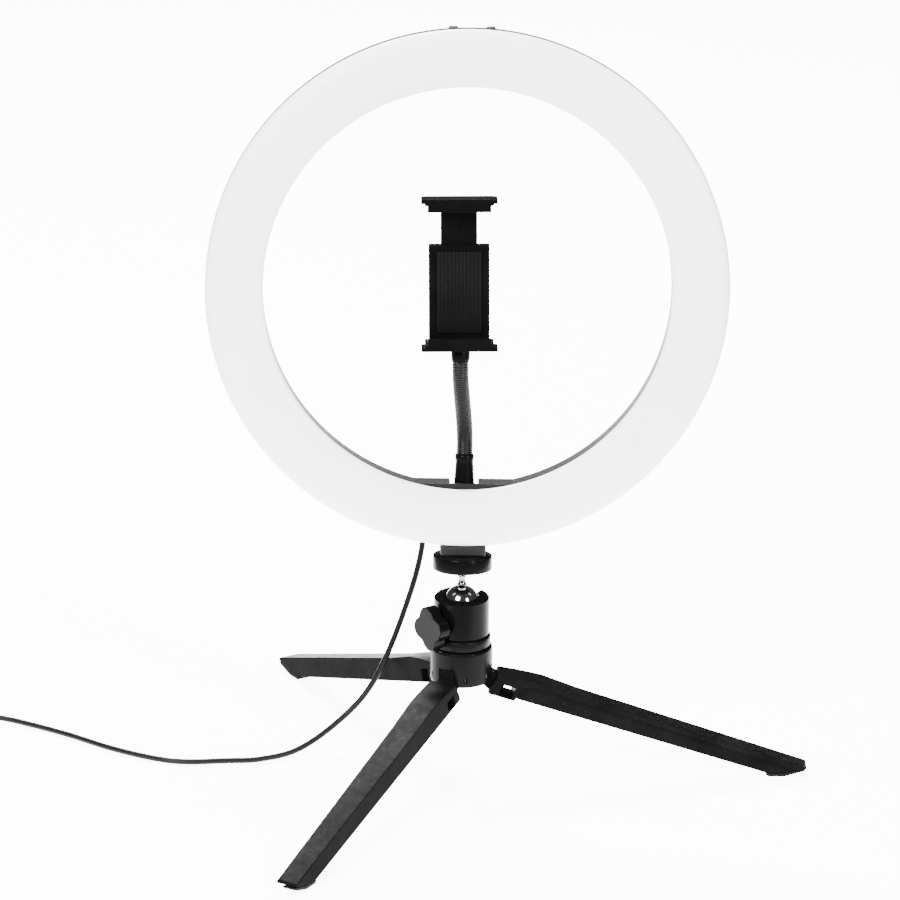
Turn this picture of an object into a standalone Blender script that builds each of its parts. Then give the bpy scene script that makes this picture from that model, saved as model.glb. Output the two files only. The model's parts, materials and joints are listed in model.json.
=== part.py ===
"""Ring light on a folding desktop tripod, with a phone holder and a USB lead.

Blender 4.5, metres, +Z up, front towards -Y. Sizes are written in millimetres times MM.
"""
import math

import bmesh
import bpy
from mathutils import Matrix, Vector

MM = 0.001
GAP = 0.3 * MM

# Frame: the object stands on Z = 0 and its box is centred on X = Y = 0.
STAND_AXIS_X = -23.59 * MM
STAND_AXIS_Y = 0.43 * MM
# Heights of the tripod, the head and the ring are written from this far below the surface.
STAND_DROP = 2.2 * MM

# Tripod
HUB_R = 15.8 * MM
HUB_BOTTOM = 55.0 * MM
HUB_TOP = 73.5 * MM
HUB_CAVITY_R = 6.6 * MM
HUB_CEILING = 66.9 * MM
SLOT_WIDTH = 9.1 * MM
SLOT_TOP = 64.8 * MM
LEG_NAMES = ("right", "back", "front")
LEG_AZIMUTHS = (0.3, 120.3, 240.3)
LEG_SLOPE = 18.8
LEG_WIDTH = 14.7 * MM
LEG_NARROWING = 0.01365
TONGUE_WIDTH = 8.5 * MM
WEB_SIDE = 2.6 * MM
PIVOT_R = 11.4 * MM
PIVOT_Z = 59.8 * MM
KNUCKLE_R = 4.6 * MM
LEG_HEEL = (5.2, -9.1)
PIN_R = 1.5 * MM
PIN_LENGTH = 19.0 * MM
FOOT_WIDTH = 7.6 * MM
FOOT_SIDE = 1.5 * MM

# Ball head
COLLAR_R = 14.6 * MM
COLLAR_Z = (74.0 * MM, 79.4 * MM)
HEAD_R = 13.9 * MM
HEAD_Z = (79.7 * MM, 99.5 * MM)
BALL_R = 8.7 * MM
BALL_Z = 96.3 * MM
DROP_SLOT_AZIMUTH = 60.0
KNOB_AZIMUTH = 216.0
KNOB_Z = 86.2 * MM
KNOB_R = 11.3 * MM
KNOB_PHASE = 12.0
KNOB_INNER = 15.3 * MM
KNOB_OUTER = 21.5 * MM

# Ring head, measured from the ball: it leans back and slightly to the right.
TILT_BACK = 7.2
LEAN_RIGHT = 0.7
STEM_TOP = 15.7 * MM
PLATFORM_R = 14.9 * MM
PLATFORM_Z = (16.7 * MM, 24.4 * MM)
PLATFORM_DISH_R = 12.9 * MM
RING_RISE = 160.4 * MM
RING_FORWARD = 9.5 * MM
RING_R = 130.0 * MM
HOUSING_DEPTH = 17.5 * MM
SHELF_Z = -98.6 * MM
SHELF_DEPTH = (2.9 * MM, 16.4 * MM)
BLOCK_WIDTH = 22.7 * MM
BLOCK_DEPTH = 18.0 * MM
BLOCK_BOTTOM = -135.4 * MM
LED_COUNT = 40
LED_RING_R = 115.5 * MM
RELIEF_X = -19.0 * MM
RELIEF_Z = -112.0 * MM
RELIEF_LENGTH = 20.0 * MM

# Phone holder, in the ring's frame
NECK_R = 4.05 * MM
NECK_BASE = Vector((0.15, 10.0, -80.4)) * MM
NECK_TOP = Vector((-3.2, -9.0, -34.2)) * MM
NECK_JOINTS = (0.34, 0.68)
CLAMP_X = -4.4 * MM
CLAMP_LEAN = -1.1
JAW_WIDTH = 37.6 * MM
JAW_DEPTH = 18.0 * MM
LOWER_GRIP = -22.7 * MM
UPPER_GRIP = 44.6 * MM
CLAMP_FRONT = -20.0 * MM

# Lead
LEAD_R = 1.45 * MM
COIL_CENTRE = Vector((-268.0, 94.0)) * MM
COIL_RADII = (12.0 * MM, 24.0 * MM)
COIL_Z = (1.2 * MM, 10.2 * MM)
CONTROLLER = Vector((-288.5, 151.0)) * MM
CONTROLLER_SIZE = Vector((54.0, 20.0)) * MM
PLUG = Vector((-262.0, 176.0)) * MM
# Centreline of the lead from its strain relief to the coil, from the stand's axis
LEAD_ROUTE = (
    (-18.4, 35.2, 138.3), (-18.5, 44.0, 135.4), (-18.4, 50.2, 126.5), (-19.1, 50.8, 106.5),
    (-24.1, 49.5, 83.7), (-35.7, 46.5, 50.5), (-47.4, 42.0, 28.7), (-63.5, 35.0, 13.8),
    (-82.5, 25.5, 3.7), (-101.4, 17.8, 1.6), (-119.0, 15.6, 1.6), (-140.0, 14.2, 1.6),
    (-156.0, 19.2, 1.6), (-177.6, 32.5, 1.6), (-200.4, 51.0, 1.6), (-219.3, 64.2, 1.6),
    (-234.0, 72.0, 2.0), (-246.0, 73.5, 2.9), (-255.9, 71.5, 2.9),
)
DROP_POINTS = 9
LEAD_TO_CONTROLLER = ((-290.5, 106.3, 8.6), (-290.3, 113.0, 6.6), (-288.5, 123.6, 5.3))
LEAD_TAIL = (
    (-288.5, 178.4, 5.3), (-288.4, 187.0, 3.5), (-283.0, 196.0, 1.9), (-274.0, 199.0, 1.6),
    (-266.0, 195.0, 2.6), (-262.2, 187.0, 4.3), (-262.0, 176.4, 4.6),
)

BLACK = (0.018, 0.018, 0.020)
SOFT_BLACK = (0.022, 0.022, 0.024)
DARK_GREY = (0.075, 0.075, 0.080)
FINISHES = {
    "diffuser": ((0.90, 0.90, 0.89), 0.45, 0.0),
    "housing": (DARK_GREY, 0.5, 0.0),
    "plastic": (BLACK, 0.42, 0.0),
    "leg_plastic": (SOFT_BLACK, 0.5, 0.0),
    "rubber": ((0.012, 0.012, 0.013), 0.8, 0.0),
    "chrome": ((0.80, 0.80, 0.82), 0.08, 1.0),
    "steel": ((0.55, 0.55, 0.56), 0.3, 1.0),
    "brass": ((0.72, 0.53, 0.22), 0.3, 1.0),
    "board": ((0.82, 0.83, 0.82), 0.5, 0.0),
    "lead": ((0.014, 0.014, 0.015), 0.55, 0.0),
    "button": ((0.55, 0.56, 0.57), 0.5, 0.0),
}


# ---------------------------------------------------------------- helpers

def clear_scene():
    for obj in list(bpy.data.objects):
        bpy.data.objects.remove(obj, do_unlink=True)


def new_collection(name):
    collection = bpy.data.collections.new(name)
    bpy.context.scene.collection.children.link(collection)
    return collection


def finish_of(name, node):
    colour, roughness, metallic = FINISHES[name]
    material = bpy.data.materials.new(f"{node}_{name}")
    material.use_nodes = True
    shader = material.node_tree.nodes["Principled BSDF"]
    shader.inputs["Base Color"].default_value = (*colour, 1.0)
    shader.inputs["Roughness"].default_value = roughness
    shader.inputs["Metallic"].default_value = metallic
    return material


def empty(name, parent=None, location=(0, 0, 0), rotation=(0, 0, 0)):
    """A hidden guide that carries pieces; rotation in degrees."""
    obj = bpy.data.objects.new(name, None)
    bpy.context.scene.collection.objects.link(obj)
    obj.parent = parent
    obj.location = location
    obj.rotation_euler = [math.radians(a) for a in rotation]
    return obj


def add_piece(name, data, finish, parent, location=(0, 0, 0), rotation=(0, 0, 0)):
    obj = bpy.data.objects.new(name, data)
    PARTS.objects.link(obj)
    obj.parent = parent
    obj.location = location
    obj.rotation_euler = [math.radians(a) for a in rotation]
    data.materials.append(finish_of(finish, name))
    return obj


def add_cutter(name, data, parent, location=(0, 0, 0), rotation=(0, 0, 0)):
    obj = bpy.data.objects.new(name, data)
    CUTTERS.objects.link(obj)
    obj.parent = parent
    obj.location = location
    obj.rotation_euler = [math.radians(a) for a in rotation]
    obj.hide_render = True
    obj.display_type = "WIRE"
    return obj


def box_mesh(name, low, high):
    """A box between two corners, in millimetres."""
    bm = bmesh.new()
    bmesh.ops.create_cube(bm, size=1.0)
    low, high = Vector(low) * MM, Vector(high) * MM
    bmesh.ops.scale(bm, vec=high - low, verts=bm.verts)
    bmesh.ops.translate(bm, vec=(low + high) / 2, verts=bm.verts)
    return to_mesh(bm, name)


def cylinder_mesh(name, radius, low, high, segments=24, axis="Z"):
    bm = bmesh.new()
    bmesh.ops.create_cone(bm, cap_ends=True, segments=segments, radius1=radius, radius2=radius,
                          depth=high - low)
    bmesh.ops.translate(bm, vec=(0, 0, (low + high) / 2), verts=bm.verts)
    if axis == "Y":
        bmesh.ops.rotate(bm, matrix=Matrix.Rotation(math.radians(-90), 3, "X"), verts=bm.verts)
    if axis == "X":
        bmesh.ops.rotate(bm, matrix=Matrix.Rotation(math.radians(90), 3, "Y"), verts=bm.verts)
    return to_mesh(bm, name)


def to_mesh(bm, name):
    mesh = bpy.data.meshes.new(name)
    bm.to_mesh(mesh)
    bm.free()
    return mesh


def turned_mesh(name, outline, closed=False):
    """The profile of a turned piece, in millimetres (radius, height), top to bottom outside."""
    points = [(r * MM, 0.0, z * MM) for r, z in outline]
    edges = [(i, i + 1) for i in range(len(points) - 1)]
    if closed:
        edges.append((len(points) - 1, 0))
    mesh = bpy.data.meshes.new(name)
    mesh.from_pydata(points, edges, [])
    return mesh


def spin(obj, steps):
    screw = obj.modifiers.new("Turn", "SCREW")
    screw.steps = steps
    screw.render_steps = steps
    screw.use_merge_vertices = True
    screw.merge_threshold = 0.00001
    screw.use_smooth_shade = True
    return obj


def turned(name, outline, finish, parent, steps=32, closed=False, location=(0, 0, 0), rotation=(0, 0, 0)):
    obj = add_piece(name, turned_mesh(name, outline, closed), finish, parent, location, rotation)
    return spin(obj, steps)


def plate_mesh(name, outline, thickness):
    """A flat outline in the XY plane, in millimetres, as a solid centred on Z = 0."""
    curve = bpy.data.curves.new(name, "CURVE")
    curve.dimensions = "2D"
    curve.fill_mode = "BOTH"
    curve.extrude = thickness / 2
    spline = curve.splines.new("POLY")
    spline.points.add(len(outline) - 1)
    for point, (x, y) in zip(spline.points, outline):
        point.co = (x * MM, y * MM, 0, 1)
    spline.use_cyclic_u = True
    return mesh_of(curve, name)


def mesh_of(curve, name):
    """The closed mesh of a curve, with its loose caps welded on."""
    guide = bpy.data.objects.new(name + "_guide", curve)
    bpy.context.scene.collection.objects.link(guide)
    bpy.context.view_layer.update()
    evaluated = guide.evaluated_get(bpy.context.evaluated_depsgraph_get())
    mesh = bpy.data.meshes.new_from_object(evaluated)
    mesh.name = name
    bm = bmesh.new()
    bm.from_mesh(mesh)
    bmesh.ops.remove_doubles(bm, verts=bm.verts, dist=0.00001)
    bmesh.ops.recalc_face_normals(bm, faces=bm.faces)
    bm.to_mesh(mesh)
    bm.free()
    bpy.data.objects.remove(guide, do_unlink=True)
    return mesh


def tube_curve(name, points, radius, radii=None, resolution=2):
    """A POLY curve with a round bevel through points given in metres."""
    curve = bpy.data.curves.new(name, "CURVE")
    curve.dimensions = "3D"
    curve.bevel_depth = radius
    curve.bevel_resolution = resolution
    curve.use_fill_caps = True
    spline = curve.splines.new("POLY")
    spline.points.add(len(points) - 1)
    for index, point in enumerate(points):
        spline.points[index].co = (*point, 1)
        spline.points[index].radius = radii[index] if radii else 1.0
    return curve


def smooth_line(route, spacing):
    """Evenly spaced points on a Catmull-Rom curve through the route."""
    points = [Vector(p) for p in route]
    ends = [2 * points[0] - points[1]] + points + [2 * points[-1] - points[-2]]
    dense = []
    for i in range(1, len(ends) - 2):
        p0, p1, p2, p3 = ends[i - 1:i + 3]
        for k in range(16):
            t = k / 16
            dense.append(0.5 * (2 * p1 + (p2 - p0) * t + (2 * p0 - 5 * p1 + 4 * p2 - p3) * t * t
                                + (3 * p1 - p0 - 3 * p2 + p3) * t ** 3))
    dense.append(points[-1])
    lengths = [0.0]
    for a, b in zip(dense, dense[1:]):
        lengths.append(lengths[-1] + (b - a).length)
    count = max(2, round(lengths[-1] / spacing))
    line = []
    j = 0
    for i in range(count + 1):
        goal = lengths[-1] * i / count
        while j < len(dense) - 2 and lengths[j + 1] < goal:
            j += 1
        share = (goal - lengths[j]) / max(lengths[j + 1] - lengths[j], 1e-9)
        line.append(dense[j].lerp(dense[j + 1], share))
    return line


def arc(cx, cy, radius, start, end, count):
    """Points on an arc in millimetres; angles in degrees."""
    step = (end - start) / (count - 1)
    angles = [math.radians(start + step * i) for i in range(count)]
    return [(cx + radius * math.cos(a), cy + radius * math.sin(a)) for a in angles]


def boolean(obj, other, operation="DIFFERENCE"):
    modifier = obj.modifiers.new(f"{operation.title()} {other.name}", "BOOLEAN")
    modifier.operation = operation
    modifier.object = other
    modifier.solver = "EXACT"


def bevel(obj, width, segments=1, angle=40):
    modifier = obj.modifiers.new("Rounded edges", "BEVEL")
    modifier.width = width
    modifier.segments = segments
    modifier.limit_method = "ANGLE"
    modifier.angle_limit = math.radians(angle)


def moved(mesh, matrix):
    mesh.transform(matrix)
    return mesh


# ---------------------------------------------------------------- tripod

def leg_point(r, z):
    """A place beside the stand's axis (radius, height in mm) in the leg's own plane."""
    slope = math.radians(LEG_SLOPE)
    dr, dz = r - PIVOT_R / MM, z - PIVOT_Z / MM
    return (dr * math.cos(slope) - dz * math.sin(slope), dr * math.sin(slope) + dz * math.cos(slope))


def leg_crest():
    """Top line of the leg, from its tip up to where it meets the hub."""
    return [leg_point(173.6, 8.9), (50.0, 3.65), (28.9, 4.4), (17.0, 3.1)]


def leg_tip():
    return [leg_point(*p) for p in ((154.9, 4.4), (164.3, 4.4), (174.0, 6.95), (175.3, 7.9))]


def leg_outline():
    """The leg's full-width part, which stays outside the hub."""
    return [LEG_HEEL] + leg_tip() + leg_crest() + [(7.0, 1.6), (6.7, -2.2), (5.4, -5.5)]


def tongue_outline():
    """The narrow part that turns in the hub's slot, with a shoulder under the slot's roof."""
    knuckle = arc(0, 0, KNUCKLE_R / MM, 109, 240, 8)
    return [(12.0, -0.6), (3.9, 1.0), (2.5, 5.6)] + knuckle + [(4.4, -7.5), (12.0, -6.0)]


def foot_outline():
    floor = STAND_DROP / MM
    corners = ((154.6, floor + 1.0), (156.0, floor), (164.0, floor), (174.0, 5.0), (174.9, 6.2), (174.1, 6.6),
               (164.3, 4.05), (154.9, 4.05))
    return [leg_point(*p) for p in corners]


def narrowed(mesh):
    """Draw a leg's plate in towards its tip."""
    for vertex in mesh.vertices:
        vertex.co.z *= 1 - LEG_NARROWING * vertex.co.x / (10 * MM)
    return mesh


def make_leg(name, azimuth, stand):
    """One leg in its own plane: X along the leg, Y up across it, Z to its right-hand flank."""
    pivot = empty(f"{name}_pivot", stand, (PIVOT_R * math.cos(math.radians(azimuth)),
                                           PIVOT_R * math.sin(math.radians(azimuth)), PIVOT_Z),
                  (90, 0, azimuth))
    plane = empty(f"{name}_plane", pivot, rotation=(0, 0, -LEG_SLOPE))
    body = narrowed(plate_mesh(f"leg_{name}", leg_outline(), LEG_WIDTH))
    leg = add_piece(f"leg_{name}", body, "leg_plastic", plane)
    bevel(leg, 1.0 * MM, 2, 60)
    recess = plate_mesh("recess", [(19.5, -4.0), (21.5, -0.6), (26.0, 1.2), (34.0, 2.0), (60.0, 1.5),
                                   (180, 1.0), (180, -20), (18.5, -20)], 10.0 * MM)
    boolean(leg, add_cutter(f"{name}_recess", recess, plane, (0, 0, 5.0 * MM + WEB_SIDE)))
    window = box_mesh("window", (10.5, -8.4, -9), (17.6, -2.0, 9))
    boolean(leg, add_cutter(f"{name}_window", window, plane))
    tongue = plate_mesh("tongue", tongue_outline(), TONGUE_WIDTH)
    boolean(leg, add_cutter(f"{name}_tongue", tongue, plane), "UNION")
    hole = cylinder_mesh("hole", PIN_R + GAP, -8 * MM, 8 * MM, 16)
    boolean(leg, add_cutter(f"{name}_hole", hole, plane))
    foot = plate_mesh(f"foot_{name}", foot_outline(), FOOT_WIDTH)
    add_piece(f"foot_{name}", foot, "rubber", plane, (0, 0, -FOOT_SIDE))


def make_tripod(stand):
    r, low, high = HUB_R / MM, HUB_BOTTOM / MM, HUB_TOP / MM
    cavity, ceiling = HUB_CAVITY_R / MM, HUB_CEILING / MM
    outline = [(r - 1.2, high), (r - 0.3, high - 0.5), (r, high - 1.6), (r, low + 2.2), (r - 0.7, low + 0.6),
               (r - 2.2, low), (cavity, low), (cavity, ceiling), (3.0, ceiling), (3.0, high)]
    hub = turned("hub", outline, "plastic", stand, 30, closed=True)
    for name, azimuth in zip(LEG_NAMES, LEG_AZIMUTHS):
        turn = Matrix.Rotation(math.radians(azimuth), 4, "Z")
        side = SLOT_WIDTH / MM / 2
        slot = box_mesh("slot", (2.6, -side, low - 1), (r + 2, side, SLOT_TOP / MM))
        boolean(hub, add_cutter(f"slot_{name}", slot, stand, rotation=(0, 0, azimuth)))
        bore = cylinder_mesh("bore", PIN_R + GAP, -10 * MM, 10 * MM, 16, "Y")
        place = turn @ Matrix.Translation((PIVOT_R, 0, PIVOT_Z))
        boolean(hub, add_cutter(f"bore_{name}", moved(bore, place), stand))
        pin = cylinder_mesh(f"pin_{name}", PIN_R, -PIN_LENGTH / 2, PIN_LENGTH / 2, 16, "Y")
        add_piece(f"pin_{name}", moved(pin, place), "steel", stand)
        make_leg(name, azimuth, stand)
    screw = [(0, 82.9), (2.1, 82.9), (2.4, 82.4), (2.4, 66.5), (4.1, 66.5), (4.1, 64.4), (3.6, 63.9), (0, 63.9)]
    turned("hub_screw", screw, "steel", stand, 20)


# ---------------------------------------------------------------- ball head

def star_outline(radius, valley, lobes=4, points=10):
    """Lobed knob outline in millimetres: broad rounded lobes, narrow valleys."""
    outline = []
    for i in range(lobes * points):
        angle = 2 * math.pi * i / (lobes * points)
        lobe = 0.5 + 0.5 * math.cos(lobes * (angle - math.radians(KNOB_PHASE)))
        outline.append(((valley + (radius - valley) * lobe ** 0.55) * math.cos(angle),
                        (valley + (radius - valley) * lobe ** 0.55) * math.sin(angle)))
    return outline


def make_head(stand):
    low, high = COLLAR_Z[0] / MM, COLLAR_Z[1] / MM
    r = COLLAR_R / MM
    collar = [(r - 0.6, high), (r, high - 0.7), (r, low + 0.5), (r - 0.5, low), (3.0, low), (3.0, high)]
    turned("base_collar", collar, "plastic", stand, 32, closed=True)

    low, high = HEAD_Z[0] / MM, HEAD_Z[1] / MM
    r = HEAD_R / MM
    outline = [(r - 0.7, high), (r, high - 0.7), (r, low + 0.6), (r - 0.6, low), (3.0, low), (3.0, 82.3),
               (9.05, 82.3), (9.05, 96.4), (8.95, 98.0), (8.57, 99.0), (8.57, high)]
    body = turned("head_body", outline, "plastic", stand, 32, closed=True)
    slot = moved(cylinder_mesh("drop_slot", 4.5 * MM, 4 * MM, 18 * MM, 20, "X"),
                 Matrix.Translation((0, 0, 96.6 * MM)))
    notch = box_mesh("drop_slot_top", (4, -4.5, 96.6), (18, 4.5, 104))
    turn = (0, 0, DROP_SLOT_AZIMUTH)
    boolean(body, add_cutter("drop_slot", slot, stand, rotation=turn))
    boolean(body, add_cutter("drop_slot_top", notch, stand, rotation=turn))

    knob_axis = empty("knob_axis", stand, (0, 0, KNOB_Z), (0, 90, KNOB_AZIMUTH))
    boss_bore = cylinder_mesh("boss_bore", 2.7 * MM, 7 * MM, 18 * MM, 16)
    boolean(body, add_cutter("boss_bore", boss_bore, knob_axis))
    turned("lock_screw", [(0, 19.9), (2.1, 19.9), (2.4, 19.4), (2.4, 9.9), (1.9, 9.25), (0, 9.25)], "steel",
           knob_axis, 16)
    star = plate_mesh("lock_knob", star_outline(KNOB_R / MM, 8.2), KNOB_OUTER - KNOB_INNER)
    knob = add_piece("lock_knob", moved(star, Matrix.Translation((0, 0, (KNOB_OUTER + KNOB_INNER) / 2))),
                     "plastic", knob_axis)
    bevel(knob, 0.9 * MM, 1, 60)
    neck = cylinder_mesh("knob_neck", 5.2 * MM, 14.3 * MM, 17 * MM, 24)
    boolean(knob, add_cutter("knob_neck", neck, knob_axis), "UNION")
    bore = cylinder_mesh("knob_bore", 2.7 * MM, 10 * MM, 20.2 * MM, 16)
    boolean(knob, add_cutter("knob_bore", bore, knob_axis))

    dish = [(0.0, 87.25), (3.5, 87.95), (6.0, 89.5), (7.6, 91.4), (8.6, 91.8), (8.6, 83.2), (0, 83.2)]
    turned("pressure_cup", dish, "plastic", stand, 24)


def make_ball(head):
    bm = bmesh.new()
    bmesh.ops.create_uvsphere(bm, u_segments=20, v_segments=12, radius=BALL_R)
    add_piece("ball", to_mesh(bm, "ball"), "chrome", head)
    top, low = STEM_TOP / MM, BALL_R / MM + 0.3
    stem = [(0, top), (4.4, top), (4.4, top - 0.9), (2.7, top - 1.8), (2.0, top - 3.0), (2.0, low + 0.9), (2.7, low),
            (0, low)]
    turned("stem", stem, "chrome", head, 20)
    low, high = PLATFORM_Z[0] / MM, PLATFORM_Z[1] / MM
    r = PLATFORM_R / MM
    dish = PLATFORM_DISH_R / MM
    floor = high - 1.0
    rim = [(r - 0.6, high), (r, high - 0.7), (r, low + 1.0), (r - 1.0, low), (3.4, low), (3.4, floor), (dish, floor),
           (dish, high)]
    turned("platform", rim, "plastic", head, 30, closed=True)
    pad = [(dish - 0.3, floor + 1.3), (dish - 0.3, floor + 0.3), (3.4, floor + 0.3), (3.4, floor + 1.3)]
    turned("platform_pad", pad, "rubber", head, 28, closed=True)
    turned("stud", [(0, 28.6), (2.5, 28.6), (3.1, 28.0), (3.1, low + 0.1), (0, low + 0.1)], "steel", head, 18)


# ---------------------------------------------------------------- ring head

def make_ring(ring):
    """Pieces turned about the ring's axis have their height along the depth, front to back."""
    back = (-90, 0, 0)
    face = [(130.0, 3.0), (130.0, 1.4), (129.2, -0.2), (126.6, -1.6), (121.0, -2.8), (110.5, -2.8),
            (104.6, -1.6), (101.4, 0.2), (101.4, 2.4), (103.0, 2.4), (103.1, 0.8), (106.5, -0.5),
            (116.0, -1.4), (125.6, -0.3), (128.4, 1.6), (128.4, 3.0)]
    turned("diffuser", face, "diffuser", ring, 60, closed=True, rotation=back)
    tray = [(121.0, 17.5), (125.8, 16.3), (128.8, 13.2), (130.0, 8.8), (130.0, 3.3), (128.1, 3.3), (128.1, 8.8),
            (127.0, 12.3), (120.8, 15.8), (105.0, 15.8), (103.3, 14.3), (103.3, 2.7), (101.6, 2.7),
            (101.6, 15.9), (103.2, 17.5)]
    housing = turned("back_housing", tray, "housing", ring, 60, closed=True, rotation=back)
    add_housing_features(housing, ring)
    board = turned("led_board", [(124.0, 11.7), (124.0, 10.5), (107.0, 10.5), (107.0, 11.7)], "board", ring, 40,
                   closed=True, rotation=back)
    boolean(board, add_cutter("leds", led_mesh(), ring), "UNION")
    turned("reflector", [(125.4, 11.6), (127.6, 4.0), (126.8, 4.0), (124.6, 11.6)], "board", ring, 40,
           closed=True, rotation=back)
    make_block(ring)


def add_housing_features(housing, ring):
    z = SHELF_Z / MM
    rim = 102.4
    half = math.degrees(math.acos(-z / rim))
    shelf_outline = arc(0, 0, rim, 270 - half, 270 + half, 11)
    depth = SHELF_DEPTH[1] - SHELF_DEPTH[0]
    shelf = plate_mesh("shelf", shelf_outline, depth)
    middle = (SHELF_DEPTH[0] + SHELF_DEPTH[1]) / 2
    boolean(housing, add_cutter("shelf", shelf, ring, (0, middle, 0), (90, 0, 0)), "UNION")
    notch = box_mesh("neck_notch", (-7.0, 4.6, -101.55), (7.2, 19, -90))
    boolean(housing, add_cutter("neck_notch", notch, ring))
    for side in (-1, 1):
        tab = box_mesh("tab", (side * 9.2 - 2.3, 4.0, 127.5), (side * 9.2 + 2.3, 9.5, 130.6))
        boolean(housing, add_cutter(f"tab_{side}", tab, ring), "UNION")
    shoe = box_mesh("shoe_slot", (-6.7, 2.0, 127.0), (6.7, 11.0, 134))
    boolean(housing, add_cutter("shoe_slot", shoe, ring))
    for i in range(3):
        angle = math.radians(30 + 120 * i)
        x, zz = 114.0 * math.cos(angle), 114.0 * math.sin(angle)
        spot = Matrix.Translation((x * MM, 0, zz * MM))
        hole = moved(cylinder_mesh("screw_hole", 2.7 * MM, 14 * MM, 19 * MM, 16, "Y"), spot)
        boolean(housing, add_cutter(f"screw_hole_{i}", hole, ring))
        screw = cylinder_mesh(f"housing_screw_{i + 1}", 2.3 * MM, 12.1 * MM, 17.0 * MM, 14, "Y")
        add_piece(f"housing_screw_{i + 1}", moved(screw, spot), "steel", ring)
    place = (RELIEF_X, 0, RELIEF_Z)
    hole = cylinder_mesh("relief_hole", 3.0 * MM, 14 * MM, 19 * MM, 20, "Y")
    boolean(housing, add_cutter("relief_hole", hole, ring, place))
    end = HOUSING_DEPTH / MM + 0.3 + RELIEF_LENGTH / MM
    relief = [(0, end), (2.1, end), (2.3, end - 1), (3.6, 21.5), (4.2, 20.5), (4.2, 17.8), (2.7, 17.8),
              (2.7, 14.6), (0, 14.6)]
    turned("strain_relief", relief, "rubber", ring, 20, location=place, rotation=(-90, 0, 0))


def led_mesh():
    """The LEDs, soldered to the front of their board."""
    bm = bmesh.new()
    for i in range(LED_COUNT):
        turn = Matrix.Rotation(2 * math.pi * (i + 0.5) / LED_COUNT, 4, "Y")
        spot = turn @ Matrix.Translation((LED_RING_R, 0, 0))
        bm.from_mesh(moved(box_mesh("led", (-1.4, 9.6, -1.75), (1.4, 10.9, 1.75)), spot))
    return to_mesh(bm, "leds")


def make_block(ring):
    half, low = BLOCK_WIDTH / MM / 2, BLOCK_BOTTOM / MM
    solid = box_mesh("mount_block", (-half, 0.5, low), (half, BLOCK_DEPTH / MM + 0.5, -126))
    block = add_piece("mount_block", solid, "housing", ring)
    bevel(block, 0.9 * MM, 1, 60)
    rim = cylinder_mesh("rim_clearance", RING_R + GAP, -10 * MM, 30 * MM, 180, "Y")
    boolean(block, add_cutter("rim_clearance", rim, ring))
    depth = RING_FORWARD
    bore = cylinder_mesh("insert_bore", 4.7 * MM, (low - 2) * MM, -131.1 * MM, 20)
    boolean(block, add_cutter("insert_bore", bore, ring, (0, depth, 0)))
    turned("threaded_insert", [(4.4, -131.4), (4.4, low + 0.2), (3.45, low + 0.2), (3.45, -131.4)], "brass",
           ring, 20, closed=True, location=(0, depth, 0))


# ---------------------------------------------------------------- phone holder

def neck_point(t):
    """The gooseneck's centreline: an S from the ferrule forward to the clamp."""
    ease = t * t * (3 - 2 * t)
    flat = NECK_BASE.lerp(NECK_TOP, ease)
    return Vector((flat.x, flat.y, NECK_BASE.z + (NECK_TOP.z - NECK_BASE.z) * t))


def neck_segment(name, start, end, ring):
    """A stretch of the gooseneck; its round lower end turns about the point at start."""
    first = neck_point(start)
    ahead = (neck_point(start + 0.02) - first).normalized()
    points, radii = [], []
    for share in (0.97, 0.85, 0.6, 0.3):
        points.append(first - ahead * NECK_R * share)
        radii.append(math.sqrt(1 - share * share))
    if end < 1.0:
        speed = (neck_point(end + 0.01) - neck_point(end - 0.01)).length / 0.02
        end -= (NECK_R + 2 * GAP) / speed
    steps = 6
    for i in range(steps):
        points.append(neck_point(start + (end - start) * i / (steps - 1)))
        radii.append(1.0)
    return add_piece(name, tube_curve(name, points, NECK_R, radii, 2), "rubber", ring)


def make_neck(ring):
    base = (NECK_BASE.x, NECK_BASE.y, 0)
    turned("neck_ferrule", [(0, -84.7), (4.2, -84.7), (4.7, -85.3), (4.7, -87.3), (4.4, -87.9), (5.1, -100.4),
                            (4.8, -101.2), (0, -101.2)], "plastic", ring, 24, location=base)
    first, second = NECK_JOINTS
    neck_segment("neck_lower", 0.0, first, ring)
    neck_segment("neck_middle", first, second, ring)
    neck_segment("neck_upper", second, 1.0, ring)
    top = (NECK_TOP.x, NECK_TOP.y, 0)
    turned("neck_collar", [(0, -27.5), (4.2, -27.5), (4.6, -28.1), (4.6, -32.3), (4.2, -33.9), (0, -33.9)],
           "plastic", ring, 24, location=top)


def jaw_block(grip, sign):
    """Outer plate, inner block and front lip of one jaw, from its gripping face outwards."""
    half, front = JAW_WIDTH / MM / 2, CLAMP_FRONT / MM
    back = front + JAW_DEPTH / MM
    at = [sorted((grip + sign * a, grip + sign * b)) for a, b in ((2.2, 4.4), (1.2, 3.2), (-2.0, 2.4))]
    return ((-half, front, at[0][0]), (half, front + 10, at[0][1])), \
        ((-half + 1.8, front, at[1][0]), (half - 1.8, back, at[1][1])), \
        ((-half + 3.2, front, at[2][0]), (half - 3.2, front + 1.8, at[2][1]))


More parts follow.
